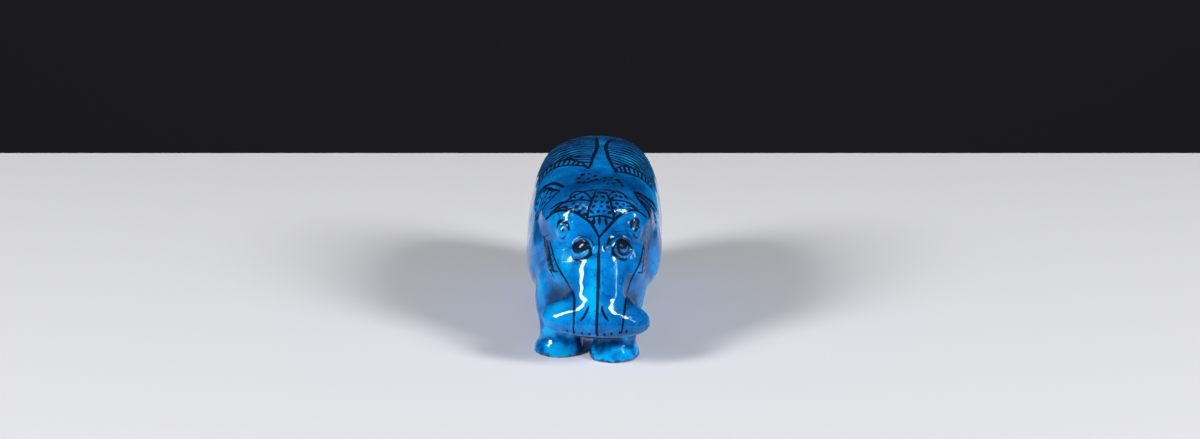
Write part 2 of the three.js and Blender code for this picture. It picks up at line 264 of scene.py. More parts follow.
def place_on_face(x, z, dip=0.0):
    """Origin and axes (across, up, out) of a spot on the face, tipped down by a dip."""
    ys = np.arange(1.2 * NOSE, NECK_Y, 0.1)
    line = np.stack([x + head_shift(ys), ys, np.full_like(ys, z)], 1)
    at = line[np.argmax(clay_field(line) < 0)]
    out = slope_of(clay_field, at[None])[1][0]
    out /= np.linalg.norm(out)
    across = np.cross((0, 0, 1), out)
    across /= np.linalg.norm(across)
    up, dip = np.cross(out, across), radians(dip)
    return at, np.stack([across, cos(dip) * up + sin(dip) * out, cos(dip) * out - sin(dip) * up], 1)


EYES = {side: place_on_face(side * EYE_SPREAD / 2 + EYES_ASIDE, EYE_HEIGHT, dip=20) for side in (-1, 1)}
EARS = {side: place_on_face(side * EAR_SPREAD / 2, EAR_HEIGHT) for side in (-1, 1)}
print("eyes at", EYES[-1][0].round(1), EYES[1][0].round(1))


def in_place(points, place):
    return (points - place[0]) @ place[1]


def near(local, radius):
    return (local ** 2).sum(1) < radius * radius


# %% Eyes and ears
FACE_BLEND = 1.3  # how softly an eye or an ear runs into the face
UPPER_LID = 0.76  # height of its edge over the middle of the eye, in half widths of the eye
LOWER_LID = {-1: -0.36, 1: -0.66}  # the eye on the -X side is less open


def bead(spot, half, at, size):
    """Distance to a lump whose place and size are shares of half the detail that it belongs to."""
    return lump_distance(lump(half * np.array(at), half * np.array(size)), spot)


def in_eye(local, side):
    """Half the width of an eye, and places in that unit: outwards from its middle, and upwards."""
    half = EYE_WIDTH / 2
    return half, local[:, 0] * side / half, local[:, 1] / half


def above_upper_lid(u, v):
    return v + 0.12 * u - UPPER_LID + 0.8 * u * u


def eye_opening(local, side):
    """How far a place is outside the almond that the lids leave open."""
    half, u, v = in_eye(local, side)
    below_lower_lid = LOWER_LID[side] + 0.65 * u * u - (v + 0.12 * u)
    return 0.9 * half * np.maximum(above_upper_lid(u, v), below_lower_lid)


def eye_shape(spot, half, side):
    ball = bead(spot, half, (0, 0, -0.34), (0.97, 0.87, 0.82))
    socket = bead(spot, half, (0, 0, -0.2), (1.08, 1.04, 0.76))
    corner = bead(spot, half, (-1.28 * side, 0.1, -0.2), (0.3, 0.5, 0.48))
    lids = soft_cut(socket, eye_opening(spot, side), blend=0.5)
    return soft_union(soft_union(ball, lids, blend=0.35), corner, blend=0.7)


def ear_shape(spot, half, side):
    cup = bead(spot, half, (0, 0, -0.16), (0.8, 1.1, 0.42))
    hollow = bead(spot, half, (0.04 * side, 0.3, 0.52), (0.42, 0.46, 0.56))
    lobe = bead(spot, half, (0.03 * side, -0.24, 0.18), (0.44, 0.66, 0.32))
    return soft_union(soft_cut(cup, hollow, blend=0.8), lobe, blend=0.8)


def add_eyes_and_ears(distance, points):
    for side in (-1, 1):
        for places, size, shape in ((EYES, EYE_WIDTH, eye_shape), (EARS, EAR_LENGTH, ear_shape)):
            local = in_place(points, places[side])
            close = near(local, 1.1 * size)
            detail = shape(local[close], size / 2, side)
            distance[close] = soft_union(distance[close], detail, FACE_BLEND)


# %% Cheeks, mouth, legs and soles
CHEEK_SWELL, BROW_SWELL, SWELL_REACH = 0.8, 0.7, (3.2, 4.5, 5)
SWELLS = [(place_on_face(x, z), size) for x, z, size in (
    (-19.5, 59.5, CHEEK_SWELL), (20.5, 59.5, CHEEK_SWELL), (-18.5, 79, BROW_SWELL), (19.5, 79, BROW_SWELL))]
MOUTH_END = NOSE + 0.19 * LENGTH
MOUTH_FADE, MARKS_FADE = 6.0, 6.0  # over these lengths the mouth's groove and the thumb marks run out
SOLE_EDGE = 1.6  # rounding where the soles are ground flat
AWAY = 9.0  # added to a distance, it keeps a line from running on too far


def facial_swell(points):
    """The cheeks below the ears and the brow above them are a little fuller."""
    swell = np.zeros(len(points))
    for place, size in SWELLS:
        across, up, out = (in_place(points, place) / SWELL_REACH).T
        swell += size * np.exp(-0.5 * (across ** 2 + up ** 2 + out ** 2))
    return swell


def mouth_height(points):
    """How far a point is above the line of the mouth."""
    roll = radians(MUZZLE_ROLL)
    level = CHIN_HEIGHT + 1.6 * MOUTH_GROOVE
    return points[:, 2] - level * cos(roll) + points[:, 0] * sin(roll)


def cut_mouth(distance, points):
    reach = fade(points[:, 1], MOUTH_END, MOUTH_END - MOUTH_FADE)
    valley = np.exp(-(mouth_height(points) / (0.55 * MOUTH_GROOVE)) ** 2)
    return distance + 0.75 * MOUTH_GROOVE * valley * reach


def cut_leg_slit(distance, points, y, top):
    """The slit that parts a pair of legs from front to back, up to a soft top."""
    depth = 1.75 * LEG_WIDTH
    wall = np.abs(points[:, 0] - LEGS_ASIDE) - LEG_GAP / 2
    end = np.maximum(points[:, 2] - top, np.abs(points[:, 1] - y) - depth / 2)
    return soft_cut(distance, np.maximum(wall, end), blend=2.4)


def unevenness(points):
    """Thumb marks: a slow swell of the surface, a fraction of a millimetre high."""
    x, y, z = points.T
    swell = np.sin(0.19 * x + 0.11 * y + 1.3) * np.sin(0.17 * y - 0.13 * z + 0.4)
    swell += np.sin(0.23 * z + 0.12 * x + 2.1)
    ripple = np.sin(0.43 * x - 0.31 * z + 0.7) * np.sin(0.37 * y + 0.41 * z + 1.9)
    return 0.16 * swell + 0.07 * ripple


def figure_field(points):
    distance = clay_field(points) - facial_swell(points)
    add_eyes_and_ears(distance, points)
    distance = cut_mouth(distance, points)
    for y, top in ((FORELEGS_Y, FORELEGS_SLIT), (HIND_LEGS_Y, HIND_LEGS_SLIT)):
        distance = cut_leg_slit(distance, points, y, top)
    distance = distance + unevenness(points) * fade(points[:, 2], 0, MARKS_FADE)
    return soft_cut(distance, points[:, 2], SOLE_EDGE)


# %% [markdown]
# ## From field to mesh
# The field is measured on a grid. Each cell that the surface passes gets one point, and each grid edge that
# crosses it gets a quad round it. Compared with marching cubes this gives even quads and no slivers. The
# points then slide along the slope of the field until they lie on the surface, and sideways until they are
# evenly spread.

# %% Quads round the surface
CELL = 1.7  # of the grid, in millimetres


def surface_nets(values, lines):
    """Closed quads round the zero of a field that was measured on a grid."""
    inside = values < 0
    cells = np.array(values.shape) - 1
    total, count = np.zeros((*cells, 3)), np.zeros(cells)
    crossings = []
    for axis in range(3):
        at = np.array(np.nonzero(np.diff(inside, axis=axis)))
        a, b = values[tuple(at)], values[tuple(at + np.eye(3, dtype=int)[:, [axis]])]
        spot = np.stack([line[index] for line, index in zip(lines, at)], 1)
        spot[:, axis] += a / (a - b) * (lines[axis][1] - lines[axis][0])
        ring = []
        for du, dv in ((0, 0), (1, 0), (1, 1), (0, 1)):
            cell = at.copy()
            cell[(axis + 1) % 3] -= du
            cell[(axis + 2) % 3] -= dv
            np.add.at(total, tuple(cell), spot)
            np.add.at(count, tuple(cell), 1)
            ring.append(cell)
        crossings.append((ring, a < 0))
    used = count > 0
    number = np.cumsum(used).reshape(used.shape) - 1
    quads = []
    for ring, outward in crossings:
        quad = np.stack([number[tuple(cell)] for cell in ring], 1)
        quads.append(np.where(outward[:, None], quad, quad[:, ::-1]))
    return total[used] / count[used][:, None], np.concatenate(quads)


# %% Places where two sheets touch
def shifted(array, step):
    """A grid without its last or, where the step is 1, its first layer along each axis."""
    return array[tuple(slice(n, n - 1 or None) for n in step)]


def fill_pinches(values):
    """Two sheets may not touch along an edge or in a corner. The nearest outside corner there is filled."""
    corners = [tuple(int(bit) for bit in f"{n:03b}") for n in range(8)]
    squares = [[c for c in corners if c[axis] == side] for side in (0, 1) for axis in range(3)]
    diagonals = [(c, tuple(1 - bit for bit in c)) for c in corners[:4]]
    while True:
        inside = {c: shifted(values, c) < 0 for c in corners}
        found = []
        for a, b, c, d in squares:
            bad = (inside[a] == inside[d]) & (inside[b] == inside[c]) & (inside[a] != inside[b])
            found.append((bad, (a, b, c, d)))
        filled = sum(inside[c].astype(int) for c in corners)
        for a, b in diagonals:
            pair = inside[a] & inside[b] & (filled == 2) | ~inside[a] & ~inside[b] & (filled == 6)
            found.append((pair, corners))
        if not any(bad.any() for bad, _ in found):
            return
        for bad, ring in found:
            at = np.array(np.nonzero(bad))
            if at.size:
                spots = np.stack([at + np.array(c)[:, None] for c in ring])
                depth = np.stack([values[tuple(spot)] for spot in spots])
                best = np.where(depth < 0, np.inf, depth).argmin(0)
                values[tuple(spots[best, :, np.arange(at.shape[1])].T)] = -1e-3


# %% Sliding over the surface
def onto_surface(points, steps=3):
    for _ in range(steps):
        here, slope = slope_of(figure_field, points)
        points = points - slope * (here / np.maximum((slope ** 2).sum(1), 0.25))[:, None]
    return points


def edges_of(faces):
    """The mesh's edges, each once, and the three that each face has."""
    sides = np.concatenate([faces[:, [0, 1]], faces[:, [1, 2]], faces[:, [2, 0]]])
    pairs, index = np.unique(np.sort(sides, 1), axis=0, return_inverse=True)
    return pairs, index.reshape(3, -1).T


def evened(points, faces, rounds=3):
    """Slides points sideways towards the middle of their neighbours and back onto the surface."""
    pairs, _ = edges_of(faces)
    for _ in range(rounds):
        total, count = np.zeros_like(points), np.zeros(len(points))
        for a, b in (pairs.T, pairs.T[::-1]):
            np.add.at(total, a, points[b])
            np.add.at(count, a, 1)
        points = onto_surface(points + 0.5 * (total / count[:, None] - points), 1)
    return points


# %% First mesh
margin = 3 * CELL
spans = ((-WIDTH / 2, WIDTH / 2), (NOSE, TAIL), (0, HEIGHT))
lines = [np.arange(low - margin, high + margin, CELL) for low, high in spans]
grid = np.stack(np.meshgrid(*lines, indexing="ij"), -1)
values = figure_field(grid.reshape(-1, 3)).reshape(grid.shape[:3])
fill_pinches(values)
points, quads = surface_nets(values, lines)
faces = np.concatenate([quads[:, [0, 1, 2]], quads[:, [0, 2, 3]]])
points = evened(onto_surface(points), faces)
print("first mesh:", len(points), "points,", len(faces), "triangles")

# %% [markdown]
# ## Standing the figure up
# The hand-made figure leans a little to one side, and its outline is centred over the origin, as the solid in
# the frame is. The points stay in the field's own place, where they can be measured, and are stood up only
# for a mesh.

# %% Lean and centre
leaning = points[:, 0] + LEAN * points[:, 2]
CENTRE = np.array([(leaning.min() + leaning.max()) / 2, (points[:, 1].min() + points[:, 1].max()) / 2, 0])
CENTRE[:2] -= (box_low + box_high)[:2] / 2


def stood_up(points):
    moved = points - CENTRE
    moved[:, 0] += LEAN * points[:, 2]
    return moved


print("figure in mm:", stood_up(points).min(0).round(1), stood_up(points).max(0).round(1))

# %% [markdown]
# ## Brushwork
# The decorator drew with a loaded brush: outlines first, then rows of dots and quick hatching inside them.
# Each stroke here is a few points in a view of the figure. The flat views look at its front, its back or one
# flank, and the round view unrolls the body about a line through its middle, so it holds the whole back
# without stretching it. A smooth curve goes through the points and is laid on the surface along the lines of
# sight, so it follows every swell of the clay.

# %% Lines on the surface
# A flat view is its direction across and its line of sight. Its points are given across and up.
FRONT, BACK = ((1, 0, 0), (0, 1, 0)), ((1, 0, 0), (0, -1, 0))
LEFT, RIGHT = ((0, 1, 0), (1, 0, 0)), ((0, 1, 0), (-1, 0, 0))
ROUND = "round"
AXIS_HEIGHT = 50.0  # of the line that the round view looks at: its points are degrees from the top, and y
STEP = 0.5  # between the points of a stroke, in millimetres
OUTSIDE = 300  # how far before its target a line of sight starts
skin = BVHTree.FromPolygons([Vector(p) for p in stood_up(points)], quads.tolist())


def smooth_curve(controls):
    """A curve through the control points, with points about a step apart."""
    controls = np.array(controls, float)
    ends = np.concatenate([2 * controls[:1] - controls[1:2], controls, 2 * controls[-1:] - controls[-2:-1]])
    curve = []
    for a, b, c, d in zip(ends, ends[1:], ends[2:], ends[3:]):
        count = max(2, int(np.linalg.norm(c - b) / STEP) + 1)
        t = np.linspace(0, 1, count, endpoint=False)[:, None]
        bend, twist = 2 * a - 5 * b + 4 * c - d, 3 * b - a - 3 * c + d
        curve.append(0.5 * (2 * b + (c - a) * t + bend * t ** 2 + twist * t ** 3))
    return np.concatenate([*curve, controls[-1:]])


def laid_on(view, flat):
    """The points of a view, moved along their lines of sight until they meet the surface."""
    u, v = np.asarray(flat, float).T[:, :, None]
    if view == ROUND:
        turn = np.radians(u)
        sight = np.hstack([-np.sin(turn), 0 * turn, -np.cos(turn)])
        target = v * [0, 1, 0] + [0, 0, AXIS_HEIGHT]
    else:
        across, along = np.array(view, float)
        target = u * across + v * [0, 0, 1]
        sight = np.broadcast_to(along, target.shape)
    hits = [skin.ray_cast(Vector(t - OUTSIDE * s), Vector(s))[0] for t, s in zip(target, sight)]
    return np.array([hit for hit in hits if hit is not None]).reshape(-1, 3)


# %% Strokes of the brush
strokes = []  # of each: its points on the surface, and half its width at each of them
hand = np.random.default_rng(7)


def stroke(view, controls, width=1.2, taper=0.35):
    """One pull of the brush. It is thinner at its ends by the taper."""
    path = laid_on(view, smooth_curve(controls))
    if len(path) < 2:  # it misses the figure
        return
    along = np.linspace(-1, 1, len(path))
    swell = 1 + 0.1 * np.sin(np.linspace(0, len(path) / 9, len(path)) + hand.uniform(0, 6))
    strokes.append((path, width / 2 * swell * (1 - taper * along ** 4)))


def draw(view, lines):
    """Several strokes, each given as its width and its points."""
    for width, controls in lines:
        stroke(view, controls, width)


def dab(view, places, width):
    """Short touches, each at its own slant."""
    for u, v in places:
        du, dv = hand.uniform(0.2, 0.7), hand.uniform(-0.4, 0.4)
        stroke(view, [(u - du, v - dv), (u + du, v + dv)], width * hand.uniform(0.85, 1.15), 0.3)


def hatch(view, start, end, count, bow=0.0, width=1.0):
    """Strokes from one guide line to another. A bow lifts their middles, or lowers them if it is negative."""
    start, end = smooth_curve(start), smooth_curve(end)
    for share in (np.arange(count) + 0.5) / count:
        a = start[int(share * (len(start) - 1))]
        b = end[int(share * (len(end) - 1))] + hand.uniform(-0.3, 0.3, 2)
        stroke(view, [a + 0.03 * (b - a), (a + b) / 2 + (0, bow), b], width)


# %% Face
draw(FRONT, [
    (1.9, [(2.9, 69), (2.7, 58), (2.4, 45), (1.9, 34.3), (1.6, 24)]),
    (1.9, [(2.9, 69.2), (1.3, 72.5), (-2.1, 77), (-6, 79.3), (-9.9, 81.3), (-14.4, 81.8), (-18.6, 81.4),
           (-22.8, 79.5), (-26.8, 75.4)]),
    (1.9, [(2.9, 69.2), (6.7, 73.1), (11.4, 77.7), (15.2, 80.5), (19.6, 81.9), (23, 81.8), (26.4, 80.2),
           (29.2, 77.6)]),
    (1.4, [(-24.5, 63.5), (-21.8, 56.5), (-18.8, 51.2), (-15.8, 47.3), (-13.2, 43.9), (-11.3, 41.5),
           (-10.6, 38), (-11.1, 24.8)]),
    (1.4, [(28.2, 64), (26.2, 56.5), (23.7, 51.7), (21.1, 47.6), (19.4, 43.3), (17.6, 37.7), (16.6, 32.8),
           (15.2, 23.8)]),
    (1.5, [(-2.7, 37.8), (-3.6, 35.7), (-5.2, 33.2), (-6.9, 31.1)]),
    (1.5, [(4.6, 37.8), (4.9, 35.7), (6.2, 33.3), (7.9, 31.4)]),
])
hatch(FRONT, [(-16.5, 25.6), (2, 24), (20.5, 25.6)], [(-16.5, 24.2), (2, 22.4), (20.5, 24.2)], 9, width=1.3)
print(len(strokes), "strokes")

# %% Brows, ears and nets
draw(FRONT, [
    (1.0, [(-1.3, 68.6), (-0.2, 66.4)]),
    (1.5, [(10.1, 70), (8.4, 67.9), (7.6, 65.6)]),
    (2.4, [(-20.2, 73.6), (-19.7, 75.5), (-18.1, 76.7), (-15.9, 76.6), (-14.6, 75), (-13.9, 73.2)]),
    (1.7, [(-18.3, 74.6), (-17.2, 74.9)]),
    (1.2, [(-17.4, 73.8), (-17, 71.8)]),
    (2.2, [(20.9, 74), (21.7, 76.6), (23.4, 77.5), (24.8, 76.4), (24.3, 74.4), (23.2, 72.4)]),
])
NETS = [  # of each: its outer edge, its inner edge, and where the line at its foot ends
    ([(-28.6, 66), (-27.6, 57), (-25, 49.4)], [(-25.8, 64), (-23.4, 56.5), (-21.4, 49.8)], (-20, 50.4)),
    ([(31.6, 63), (31, 55), (28.8, 48)], [(28.6, 65), (27.6, 56), (26, 49)], (24.6, 50)),
]
for outer, inner, cheek in NETS:
    hatch(FRONT, [outer[0], inner[0]], [outer[-1], inner[-1]], 6, width=0.8)
    for climb in (-5, 5):
        hatch(FRONT, outer, [(x, z + climb) for x, z in inner], 5, width=0.7)
    stroke(FRONT, [outer[-1], cheek], 1.2)
print(len(strokes), "strokes")

# %% Crown
stroke(ROUND, [(-34, -54.5), (-30, -53.5), (-20, -51.2), (-7, -48.7), (5, -48.1), (16, -48.1), (27, -50.2),
               (36, -53.2)], 1.0)
draw(FRONT, [
    (1.5, [(1, 90.6), (-1, 86.8), (-2.9, 82.8), (-3.5, 78.9)]),
    (1.5, [(6.6, 90.5), (9.4, 86.4), (10.7, 81.8), (11.3, 78.9)]),
    (1.4, [(-4.3, 78.9), (-0.4, 79.7), (3.5, 80.1), (7.4, 79.5), (11.6, 78.4)]),
    (1.4, [(-1, 86.6), (-4.9, 87), (-8.8, 86.8), (-13.3, 85.8), (-16.7, 84.7), (-20.6, 82.3), (-24.5, 78.8)]),
    (1.3, [(-12.7, 86.3), (-13.2, 87.7), (-11.7, 89.2), (-8.9, 90), (-5.5, 90), (-2.9, 88.9), (-1.2, 87.2)]),
    (1.4, [(8.8, 87), (12.4, 86.9), (16.4, 86.2), (19.7, 85.2), (22.5, 83.6), (25.2, 81.2)]),
    (1.3, [(8.8, 89), (10.8, 90), (13.6, 90), (16.4, 89), (18.9, 86.7)]),
    (1.9, [(0.2, 78.6), (-0.1, 76.2)]),
    (1.9, [(3.2, 79), (3.2, 76)]),
    (1.9, [(6.6, 78.4), (7.1, 75.8)]),
    (1.3, [(-15.2, 85.6), (-19.4, 84.2), (-24.4, 80.8)]),
    (1.3, [(-14.6, 83.8), (-18.6, 82.4), (-22.4, 80.2)]),
    (1.2, [(-12.6, 82.8), (-16.4, 82.8)]),
    (1.3, [(17.6, 85.7), (20.8, 84.5), (23.6, 82.4)]),
    (1.3, [(18.2, 83.9), (21, 83.6), (23.4, 82.2)]),
    (1.2, [(17.8, 82.6), (20.4, 82.6)]),
])
dab(FRONT, [(3.2, 90.2), (5.4, 90.1), (1.6, 88.7), (5.1, 88.6), (1, 86.6), (4.6, 86.5), (7.6, 86.2),
            (0, 84.5), (4.1, 84.6), (8.1, 84), (-1, 81.9), (2.6, 82.2), (5.8, 82.2), (8.9, 81.6)], 2.1)
dab(FRONT, [(-10.6, 87.9), (-6.6, 88), (-11.6, 85.2), (-7.4, 85.2), (-9.5, 83.9), (-5.8, 83.1), (-12, 83),
            (-7.8, 81.9), (-4.8, 80.7), (10.5, 87.9), (12.6, 88.6), (15, 88), (13, 85.5), (16.6, 84.9),
            (15, 83.9), (12, 83.6), (17, 82.6), (14.4, 82), (11.9, 81)], 2.0)
print(len(strokes), "strokes")

# %% Neck and shoulders
dab(ROUND, [(-8, -30.3), (-3.5, -30), (-11, -33.6), (-4, -35.2), (1, -33), (2, -36.7), (-11, -38),
            (-7.5, -39), (-4, -39.6), (-1, -38.2), (8, -34.6), (12.5, -34.2), (7.5, -38.4), (10.5, -41.4),
            (14.5, -40.6), (17, -35.8), (19, -37.6), (21, -40.6)], 2.7)
draw(ROUND, [
    (2.6, [(-54, -19), (-48, -19), (-42, -20.3), (-37, -23.3), (-31, -27.7), (-27, -32.6), (-23, -38.4)]),
    (2.2, [(-54, -22.8), (-49, -22.5), (-43, -23.3), (-36, -28.2), (-32, -34.4), (-27, -40)]),
    (1.9, [(-27, -41), (-33, -43), (-38, -44), (-45, -43), (-55, -39)]),
    (2.8, [(31, -43.1), (36, -39.9), (41, -36.2), (46, -32.8), (52, -28.4), (60, -24.7)]),
    (2.1, [(34, -45), (38, -43.9), (43, -40.3), (49, -35.2), (59, -29.6)]),
    (2.2, [(31, -43.6), (36, -48.6), (43, -51), (50, -52), (60, -50)]),
    (2.0, [(37, -47.6), (44, -48.6), (50, -48.2), (60, -45)]),
    (2.0, [(40, -44.6), (47, -44.6), (54, -42.6), (61, -38.6)]),
    (1.9, [(46, -40), (53, -38), (60, -33.6)]),
])
dab(ROUND, [(-39, -28), (-34, -36.5), (-40, -33.7), (-45, -26.6), (-36, -40), (-49, -27.6), (-42, -38.8),
            (-55, -27.2), (-48, -33.1), (-54, -32.4), (-48, -38), (-55, -36.4), (-37, -32.2), (-44, -30.6),
            (-51, -25.4), (-45, -35.6), (-52, -40.2), (-58, -31), (-60, -26.5), (-58, -35)], 2.8)
print(len(strokes), "strokes")


# %% Two great leaves on the back
def great_leaf(inner, front, row, outer, vein_ends, ribs, short_veins, bow):
    """Its four edges, the veins across it, the ribs along its front, and the short veins by the spine."""
    draw(ROUND, [(2.3, inner), (2.1, front), (1.7, row), (1.5, outer)])
    hatch(ROUND, inner[:-1], vein_ends, 13, -3, 2.4)
    hatch(ROUND, row, front, ribs, width=1.7)
    hatch(ROUND, *short_veins, 6, bow, 1.6)


great_leaf(
    inner=[(2, 46.7), (2, 30.5), (2, 19.6), (1, 8), (-1, -5.9), (-2, -16.4), (-4, -23.6)],
    front=[(-4, -23.6), (-7, -19.6), (-11, -17.7), (-16, -14.8), (-22, -11), (-28, -6.9), (-33, -4.4),
           (-39, -4), (-46, -6)],
    row=[(-5, -20.4), (-8, -13.9), (-12, -8.7), (-18, -3.2), (-24, 2), (-30, 5.8), (-35, 6.5), (-46, 4.8)],
    outer=[(-46, -6), (-55, -1), (-61, 10), (-62, 26), (-55, 42), (-40, 55), (-18, 58), (2, 46.7)],
    vein_ends=[(-10, 53), (-32, 52), (-48, 42), (-54, 26), (-52, 12), (-40, 8), (-28, 6), (-14, -6)],
    ribs=12, short_veins=([(-5, -2), (-9, 14), (-12, 34)], [(-22, -4), (-40, 6), (-56, 20)]), bow=-2)
great_leaf(
    inner=[(14, 48.1), (11, 38.9), (9, 29.7), (8, 17.5), (9, 5.7), (10, -5.6), (12, -16.2), (15, -26.9)],
    front=[(15, -26.9), (19, -25.8), (23, -25.3), (29, -23.5), (34, -21.3), (39, -19.1), (46, -16.5)],
    row=[(14, -23.3), (18, -18.6), (22, -16.7), (27, -14.6), (32, -13.4), (37, -12.6), (46, -11.6)],
    outer=[(46, -16.5), (56, -9), (62, 4), (64, 22), (58, 40), (44, 54), (26, 59), (14, 48.1)],
    vein_ends=[(24, 54), (40, 50), (54, 38), (58, 20), (56, 4), (50, -6), (38, -11), (22, -14)],
    ribs=10, short_veins=([(13, -4), (17, 12), (20, 34)], [(30, -12), (46, 0), (60, 18)]), bow=2)
print(len(strokes), "strokes")


# %% Water plants on the flanks, and the hindquarters
def stem(view, foot, head, bend):
    """A stem that bends sideways by a length. Gives back its head."""
    foot, head = np.array(foot, float), np.array(head, float)
    stroke(view, [foot, (foot + head) / 2 + (bend, 0), head], 1.5, 0)
    return head


def umbel(view, foot, head, size):
    """A flower like a fan on its stem, as it grows in the marsh."""
    head = stem(view, foot, head, 0.06 * size)
    fan = np.radians(np.linspace(35, 145, 6))
    tips = head + size * np.stack([np.cos(fan), np.sin(fan)], 1)
    for tip in tips:
        stroke(view, [head, (head + tip) / 2 + (0, 0.05 * size), tip], 1.1)
    stroke(view, [tip + (0, 0.6) for tip in tips], 1.5)
    dab(view, tips + (0, 0.28 * size), 1.6)


def bud(view, foot, head, size):
    """A closed flower on its stem."""
    head = stem(view, foot, head, -0.08 * size)
    for side in (-1, 0, 1):
        stroke(view, [head, head + (0.32 * size * side, 0.5 * size), head + (0, size)], 1.4)


for flank in (LEFT, RIGHT):
    stroke(flank, [(-27, 27), (-12, 24.5), (8, 23.5), (28, 25), (40, 29)], 1.3)
    umbel(flank, (-14, 24.6), (-16, 42), 11)
    bud(flank, (-4, 24.2), (-1, 38), 9)
    umbel(flank, (8, 23.6), (11, 45), 12)
    bud(flank, (20, 24.3), (24, 39), 9)
    umbel(flank, (33, 26.4), (38, 46), 11)
    bud(flank, (44, 33), (53, 50), 9)
    stroke(flank, [(52, 34), (62, 42), (68, 54), (70, 66), (66, 78)], 1.3)
draw(BACK, [
    (1.4, [(0, 90), (-9, 84), (-17, 72), (-21, 58), (-19, 44)]),
    (1.4, [(12, 90), (20, 83), (27, 71), (29, 57), (26, 44)]),
])
hatch(BACK, [(1.5, 77), (0.6, 68), (0, 58), (-0.5, 50)], [(9, 77), (8.4, 68), (7.4, 58), (6.5, 50)], 5)
bud(BACK, (-12, 40), (-11, 56), 10)
bud(BACK, (19, 40), (19, 56), 10)
print(len(strokes), "strokes")


# %% [markdown]
# ## Measuring the brushwork on the mesh
# A Geometry Nodes tree asks, for every point of the mesh, how far it is from the nearest stroke, and takes
# half that stroke's width away. What is left is stored as an attribute: below zero the point is under paint.
# The material can then draw an edge that is sharper than the mesh, which painted vertex colours can't.

# %% Strokes as one mesh of edges
def mesh_from(name, points, edges=(), faces=()):
    mesh = bpy.data.meshes.new(name)
    mesh.vertices.add(len(points))
    mesh.vertices.foreach_set("co", (points * MM).ravel())
    if len(edges):
        mesh.edges.add(len(edges))
        mesh.edges.foreach_set("vertices", np.asarray(edges, np.int32).ravel())
    if len(faces):
        mesh.loops.add(3 * len(faces))
        mesh.loops.foreach_set("vertex_index", np.asarray(faces, np.int32).ravel())
        mesh.polygons.add(len(faces))
        mesh.polygons.foreach_set("loop_start", np.arange(0, 3 * len(faces), 3, dtype=np.int32))
        mesh.polygons.foreach_set("use_smooth", np.ones(len(faces), bool))
    mesh.update(calc_edges=len(faces) > 0)
    return mesh


def set_attribute(mesh, name, values):
    mesh.attributes.new(name, "FLOAT", "POINT").data.foreach_set("value", np.asarray(values, np.float32))


def get_attribute(mesh, name):
    values = np.zeros(len(mesh.vertices), np.float32)
    mesh.attributes[name].data.foreach_get("value", values)
    return values


def strokes_mesh():
    paths, halves = zip(*strokes)
    starts = np.cumsum([0] + [len(path) for path in paths])
    runs = [np.arange(a, b - 1) for a, b in zip(starts, starts[1:])]
    edges = np.concatenate([np.stack([run, run + 1], 1) for run in runs])
    mesh = mesh_from("brush strokes", np.concatenate(paths), edges)
    set_attribute(mesh, "half_width", np.concatenate(halves) * MM)
    return mesh


brush = add_object("brush strokes", strokes_mesh())
print(len(strokes), "strokes,", len(brush.data.vertices), "points")

# %% Adding a node
def new_node(tree, kind, settings=None, **inputs):
    """Adds a node with its properties. Its inputs go by name, or by number as in n0 or n6."""
    node = tree.nodes.new(kind)
    for name, value in (settings or {}).items():
        setattr(node, name, value)
    for name, value in inputs.items():
        socket = node.inputs[int(name[1:]) if name[1:].isdigit() else name.replace("_", " ")]
        if isinstance(value, bpy.types.NodeSocket):
            tree.links.new(value, socket)
        else:
            socket.default_value = value
    return node


# %% Node tree that measures the brushwork
def brushwork_tree():
    tree = bpy.data.node_groups.new("brushwork", "GeometryNodeTree")
    for name, kind in (("Geometry", "Geometry"), ("Strokes", "Object"), ("Glaze", "Material")):
        tree.interface.new_socket(name, in_out="INPUT", socket_type="NodeSocket" + kind)
    tree.interface.new_socket("Geometry", in_out="OUTPUT", socket_type="NodeSocketGeometry")
    given = tree.nodes.new("NodeGroupInput").outputs
    at_points = {"data_type": "FLOAT", "domain": "POINT"}
    drawn = new_node(tree, "GeometryNodeObjectInfo", Object=given["Strokes"]).outputs["Geometry"]
    far = new_node(tree, "GeometryNodeProximity", {"target_element": "EDGES"}, n0=drawn)
    nearest = new_node(tree, "GeometryNodeSampleNearest", {"domain": "POINT"}, n0=drawn)
    width = new_node(tree, "GeometryNodeInputNamedAttribute", {"data_type": "FLOAT"}, Name="half_width")
    half = new_node(tree, "GeometryNodeSampleIndex", at_points, n0=drawn, Value=width.outputs[0],
                    Index=nearest.outputs[0])
    left = new_node(tree, "ShaderNodeMath", {"operation": "SUBTRACT"}, n0=far.outputs["Distance"],
                    n1=half.outputs[0])
    stored = new_node(tree, "GeometryNodeStoreNamedAttribute", at_points, Name="ink",
                      Geometry=given["Geometry"], Value=left.outputs[0])
    real = new_node(tree, "GeometryNodeRealizeInstances", Geometry=stored.outputs[0])
    glazed = new_node(tree, "GeometryNodeSetMaterial", Geometry=real.outputs[0], Material=given["Glaze"])
    new_node(tree, "NodeGroupOutput", n0=glazed.outputs[0])
    return tree


glaze = bpy.data.materials.new("faience_glaze")
BRUSHWORK = brushwork_tree()
print(len(BRUSHWORK.nodes), "nodes measure the brushwork")


def with_brushwork(name, mesh):
    """The mesh as the node tree leaves it: with its attribute, called ink, and its material."""
    carrier = add_object("carrier", mesh)
    modifier = carrier.modifiers.new("brushwork", "NODES")
    modifier.node_group = BRUSHWORK
    inputs = {item.name: item.identifier for item in BRUSHWORK.interface.items_tree if item.in_out == "INPUT"}
    modifier[inputs["Strokes"]] = brush
    modifier[inputs["Glaze"]] = glaze
    made = bpy.data.meshes.new_from_object(carrier.evaluated_get(bpy.context.evaluated_depsgraph_get()))
    made.name = name
    bpy.data.objects.remove(carrier)
    bpy.data.meshes.remove(mesh)
    return made


